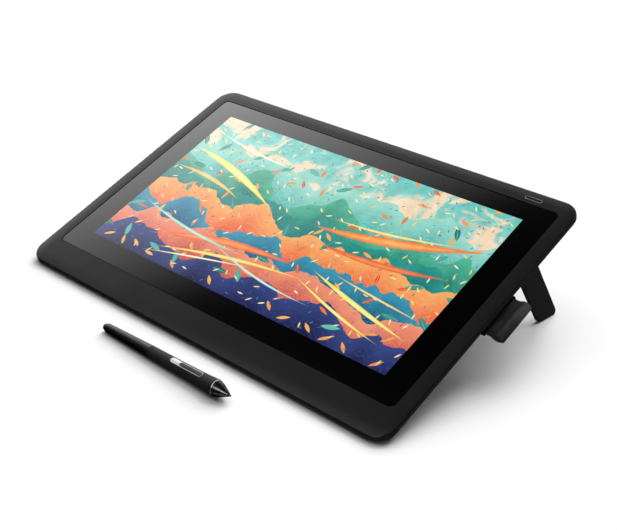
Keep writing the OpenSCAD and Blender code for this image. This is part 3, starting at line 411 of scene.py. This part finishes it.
FINISHES = {
    "front_frame": bezel_plastic, "cover_glass": cover_glass, "glass_tape": bond_tape, "lcd_cell": panel_film,
    "backlight": light_guide, "panel_tray": panel_steel, "digitiser_board": panel_board,
    "shield_plate": shield_foil, "chassis_plate": chassis_steel, "chassis_screws": screw_steel,
    "main_board": main_board_mask, "board_chips": chip_epoxy, "board_screws": screw_steel,
    "panel_ribbon": ribbon_film, "digitiser_ribbon": ribbon_film, "port_socket": socket_nickel,
    "power_button": button_plastic, "button_ring": light_pipe, "button_board": main_board_mask,
    "button_switch": chip_epoxy, "rear_cover": rear_plastic, "cable_cover": rear_plastic,
    "case_screws": screw_steel, "front_feet": foot_rubber, "back_feet": foot_rubber,
    "left_leg": leg_plastic, "left_leg_sole": foot_rubber, "left_leg_pin": pin_steel,
    "right_leg": leg_plastic, "right_leg_sole": foot_rubber, "right_leg_pin": pin_steel,
    "pen_loop": loop_tape, "pen_loop_tab": tab_plastic, "pen_barrel": barrel_plastic,
    "pen_grip": grip_rubber, "pen_core": core_plastic, "pen_surround": silver_lacquer,
    "pen_rocker": rocker_plastic, "pen_ring": silver_lacquer, "pen_nose": nose_plastic,
    "pen_nib": nib_plastic, "pen_eraser": barrel_plastic,
}
for name, node in nodes.items():
    node.data.materials.clear()
    node.data.materials.append(FINISHES[name])


# New pieces

def placed(bm, name, place, body, material, slot, *stands_for):
    """Makes a piece of a bmesh drawn in its own frame, puts it in place and joins it to a body."""
    bmesh.ops.transform(bm, matrix=place, verts=bm.verts)
    mesh = bpy.data.meshes.new(name)
    bm.to_mesh(mesh)
    bm.free()
    mesh.materials.append(material)
    piece = bpy.data.objects.new(name, mesh)
    bpy.context.scene.collection.objects.link(piece)
    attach(piece, body)
    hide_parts(*stands_for)
    return piece


SLOTS = {part["node"]: part["material_slot"] for part in frame["record"]["subparts"]}
# Turn from which an edge is hard, turn up to which faces are one plane, distance up to which points are one
HARD, FLAT, MERGE = math.radians(24), math.radians(0.5), 0.001 * MM
# Solids whose edges show, and how far in mm their moulds or presses round them
EASED = {
    "rear_cover": 0, "left_leg": 0.5, "right_leg": 0.5, "left_leg_sole": 0.4, "right_leg_sole": 0.4,
    "front_feet": 0.5, "back_feet": 0.5, "cable_cover": 0.3, "power_button": 0.25, "button_ring": 0,
    "pen_loop_tab": 0.4, "port_socket": 0.15, "pen_barrel": 0, "pen_grip": 0, "pen_core": 0, "pen_surround": 0,
    "pen_rocker": 0.2, "pen_ring": 0.1, "pen_nose": 0, "pen_nib": 0, "pen_eraser": 0.2,
}


def eased(node, width, shown=lambda point: True):
    """Copy of a solid, shaded smooth, with its outer hard edges rounded to a width in mm where they show."""
    bm = bmesh.new()
    bm.from_mesh(nodes[node].data)
    bmesh.ops.remove_doubles(bm, verts=bm.verts, dist=MERGE)
    bmesh.ops.dissolve_limit(bm, angle_limit=FLAT, verts=bm.verts, edges=bm.edges)
    if width:
        hard = [
            e for e in bm.edges
            if e.is_manifold and e.is_convex and e.calc_face_angle() > HARD and all(shown(v.co) for v in e.verts)
        ]
        bmesh.ops.bevel(
            bm, geom=hard, offset=width * MM, affect="EDGES", segments=2, profile=0.5, material=-1,
            clamp_overlap=True,
        )
    for face in bm.faces:
        face.smooth = True
    for edge in bm.edges:
        edge.smooth = not edge.is_manifold or edge.calc_face_angle() < HARD
    body = nodes[node]["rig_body"]
    piece = placed(bm, node + "_eased", Matrix.Identity(4), body, FINISHES[node], SLOTS[node], node)
    piece.modifiers.new("even_shading", "WEIGHTED_NORMAL").keep_sharp = True
    return piece


RIM_DEPTH, RIM_OUT, RIM_EASE = 1.5 * MM, 3 * MM, 0.5  # Depth, distance from the glass, rounding in mm
WALL_TURN = 0.3  # Faces whose cosine to the bezel's face is below this are walls


def on_rim(point):
    """True for a point on the outer edge of the bezel's face."""
    x, y, z = TABLET.inverted() @ point
    return z > -RIM_DEPTH and max(abs(x) - GLASS_W / 2, abs(y - GLASS_Y) - GLASS_D / 2) > RIM_OUT


def bezel():
    """Front frame with an eased rim: satin on its face, textured on its walls, which get a paler grey as painted
    light in place of the table's reflection.
    """
    piece = eased("front_frame", RIM_EASE, on_rim)
    # The walls' paler copy of the same ABS is painted light: it stands in for the table's reflection
    piece.data.materials.append(wall_plastic_painted_paler)
    out_of_face = TABLET.col[2].xyz
    for polygon in piece.data.polygons:
        polygon.material_index = int(polygon.normal.dot(out_of_face) < WALL_TURN)


CORNER_STEPS, GROUND_EDGE = 12, 0.4 * MM


def glass_pane():
    """Cover glass with rounded corners and a ground top edge, mapped so that the picture spans its lit field."""
    bm = bmesh.new()
    bmesh.ops.create_grid(bm, x_segments=1, y_segments=1, size=0.5)
    bmesh.ops.scale(bm, vec=(GLASS_W, GLASS_D, 1), verts=bm.verts)
    bmesh.ops.bevel(
        bm, geom=bm.verts, offset=GLASS_R, offset_type="OFFSET", affect="VERTICES", segments=CORNER_STEPS,
        profile=0.5, material=-1,
    )
    walls = bmesh.ops.extrude_face_region(bm, geom=bm.faces[:])["geom"]
    under = [v for v in walls if isinstance(v, bmesh.types.BMVert)]
    bmesh.ops.translate(bm, vec=(0, 0, -GLASS_T), verts=under)
    bmesh.ops.recalc_face_normals(bm, faces=bm.faces)
    rim = [e for e in bm.edges if all(abs(v.co.z) < MERGE for v in e.verts)]
    bmesh.ops.bevel(bm, geom=rim, offset=GROUND_EDGE, affect="EDGES", segments=1, profile=0.5, material=-1)
    bmesh.ops.translate(bm, vec=(0, GLASS_Y, -GLASS_SINK), verts=bm.verts)
    mapping = bm.loops.layers.uv.new("picture")
    for face in bm.faces:
        for loop in face.loops:
            x, y = loop.vert.co.xy
            loop[mapping].uv = (x / PICTURE_W + 0.5, (y - PICTURE_Y) / PICTURE_D + 0.5)
    placed(bm, "cover_glass_pane", TABLET, "tablet", cover_glass, "cover_glass", "cover_glass")


# Pen loop, in the tablet's frame: its root, droop, length along the side, neck, chord, rise, sag and tape
LOOP_ROOT = Vector((209.99, 12, -11.6)) * MM
LOOP_DROOP = math.radians(6)
LOOP_L, LOOP_NECK, LOOP_CHORD = 41.5 * MM, 4.5 * MM, 12 * MM
LOOP_RISE, LOOP_SAG, TAPE_T = 3.6 * MM, 2.9 * MM, 1.1 * MM
LOOP_NECK_IN = 3 * MM
LOOP_LEAN, LOOP_FULL = 1.15, 1.3  # How far the upper layer's top lies outwards, and how narrow it is


def loop_line(steps=14):
    """Middle line of the tape, in the loop's own plane: out along the upper layer, round the crease and back."""
    half = TAPE_T / 2
    points = [(-LOOP_NECK_IN, half)]
    for i in range(steps + 1):
        t = i / steps
        lift = (LOOP_RISE - half) * math.sin(math.pi * t ** LOOP_LEAN) ** LOOP_FULL
        points.append((LOOP_NECK + (LOOP_CHORD - half) * t, half * (1 - t) + lift))
    for i in range(1, steps + 1):
        t = 1 - i / steps
        dip = (LOOP_SAG - half) * math.sin(math.pi * t)
        points.append((LOOP_NECK + (LOOP_CHORD - half) * t, -half * (1 - t) - dip))
    return points + [(-LOOP_NECK_IN, -half)]


def loop_of_tape():
    """Pen loop: one tape, folded back on itself, with a weave that follows it."""
    bm = bmesh.new()
    line = [bm.verts.new((x, -LOOP_L / 2, z)) for x, z in loop_line()]
    edges = [bm.edges.new(pair) for pair in zip(line, line[1:])]
    run = [0.0]
    for edge in edges:
        run.append(run[-1] + edge.calc_length())
    swept = bmesh.ops.extrude_edge_only(bm, edges=edges)["geom"]
    bmesh.ops.translate(bm, vec=(0, LOOP_L, 0), verts=[v for v in swept if isinstance(v, bmesh.types.BMVert)])
    mapping = bm.loops.layers.uv.new("weave")
    bm.verts.index_update()
    for face in bm.faces:
        for loop in face.loops:
            place = loop.vert.index % len(line)
            loop[mapping].uv = (run[place], loop.vert.co.y)
    turn = Matrix.Translation(LOOP_ROOT) @ Matrix.Rotation(LOOP_DROOP, 4, "Y")
    piece = placed(bm, "pen_loop_tape", TABLET @ turn, "tablet", loop_tape, "loop_tape", "pen_loop")
    for polygon in piece.data.polygons:
        polygon.use_smooth = True
    thick = piece.modifiers.new("thickness", "SOLIDIFY")
    thick.thickness, thick.offset = TAPE_T, 0


bezel()
for node, width in EASED.items():
    eased(node, width)
glass_pane()
loop_of_tape()


# Floor, light and camera

TABLE_HALF = 6  # Metres, so that its edge stays out of view


def table_top():
    """Large pale table top under everything."""
    bm = bmesh.new()
    bmesh.ops.create_grid(bm, x_segments=1, y_segments=1, size=TABLE_HALF)
    mesh = bpy.data.meshes.new("table_top")
    bm.to_mesh(mesh)
    bm.free()
    mesh.materials.append(moulded("matt_white_table", "#f1f1f1", "#f4f4f4", 0.9, 4.0, 0.01, 0.0, 400))
    top = bpy.data.objects.new("table_top", mesh)
    bpy.context.scene.collection.objects.link(top)
    top.visible_glossy = False


# Bright walls seen in the gloss: direction, cosines where each starts and is full, right end, foot, brightness.
# The last two show only from behind, on the underside and on the back.
WALLS = (
    ((-0.498, 0.615, -0.611), -0.06, 0.127, -0.25, 0.1, 4.6),
    ((-0.471, -0.250, 0.846), 0.93, 0.965, 1.0, 0.1, 3.4),
    ((0.136, -0.767, 0.627), 0.95, 0.98, 1.0, 0.1, 14.0),
    ((0.1, -0.78, -0.62), 0.935, 0.985, 1.2, -1.4, 1.8),
    ((0.35, 0.85, 0.4), 0.78, 0.95, 1.2, 0.05, 3.2),
)
# Soft lights: name, angle across in degrees, strength, way the light travels
LAMPS = (
    ("softbox_above", 60, 1.4, (0.28, -0.2, -1)),
    ("softbox_behind", 50, 3.2, (0.2, -1.2, -1)),
)
FILL, BACKDROP = 0.1, 1.0  # Brightness of the room for soft light, and for the camera
WALL_FADE, WALL_END, WALL_FOOT = 1.2, 0.12, 0.3  # Falloff of a wall's edge, and widths of its end and its foot


def studio_light():
    """White backdrop, bright walls that only the reflections see, a dim fill and two large soft lights."""
    world = bpy.data.worlds.new("studio")
    bpy.context.scene.world = world
    world.use_nodes = True
    tree = world.node_tree
    tree.nodes.clear()
    way = add(tree, "TexCoord")
    side = add(tree, "SeparateXYZ", {}, way)
    mirrored = 0.0
    for toward, low, high, end, foot, level in WALLS:
        facing = add(tree, "VectorMath", {"operation": "DOT_PRODUCT"}, way, toward).node.outputs["Value"]
        share = add(tree, "MapRange", {}, facing, low, high, 0, 1)
        soft = add(tree, "Math", {"operation": "POWER"}, share, WALL_FADE)
        inside = add(tree, "MapRange", {}, side, end, end - WALL_END, 0, level)
        above = add(tree, "MapRange", {}, side.node.outputs["Z"], foot, foot + WALL_FOOT, 0, 1)
        shown = add(tree, "Math", {"operation": "MULTIPLY"}, soft, above)
        mirrored = add(tree, "Math", {"operation": "MULTIPLY_ADD"}, shown, inside, mirrored)
    path = add(tree, "LightPath").node.outputs
    level = add(tree, "Mix", {}, path["Is Glossy Ray"], FILL, mirrored)
    level = add(tree, "Mix", {}, path["Is Camera Ray"], level, BACKDROP)
    room = add(tree, "Background", {}, (1, 1, 1, 1), level)
    add(tree, "OutputWorld", {}, room)
    for name, across, strength, travel in LAMPS:
        lamp = bpy.data.lights.new(name, "SUN")
        lamp.angle, lamp.energy = math.radians(across), strength
        holder = bpy.data.objects.new(name, lamp)
        holder.rotation_euler = Vector(travel).to_track_quat("-Z", "Y").to_euler()
        holder.visible_glossy = False
        bpy.context.scene.collection.objects.link(holder)
    bpy.context.scene.view_settings.view_transform = "Standard"


CAMERA_PLACE = Vector((558.604, -605.984, 489.050)) * MM
CAMERA_AIM = Vector((-20.362, 58.985, -2.553)) * MM
CAMERA_ROLL = Quaternion((0, 0, 1), math.radians(0.7475))
LENS, SENSOR = 62.379, 36  # Focal length and sensor width in mm


def photo_camera():
    """Camera at the viewing angle of the photograph, taken as 617 by 530."""
    lens = bpy.data.cameras.new("photo_camera")
    lens.lens, lens.sensor_width, lens.sensor_fit = LENS, SENSOR, "HORIZONTAL"
    holder = bpy.data.objects.new("photo_camera", lens)
    holder.location = CAMERA_PLACE
    holder.rotation_euler = ((CAMERA_AIM - CAMERA_PLACE).to_track_quat("-Z", "Y") @ CAMERA_ROLL).to_euler()
    bpy.context.scene.collection.objects.link(holder)
    bpy.context.scene.camera = holder


table_top()
studio_light()
photo_camera()
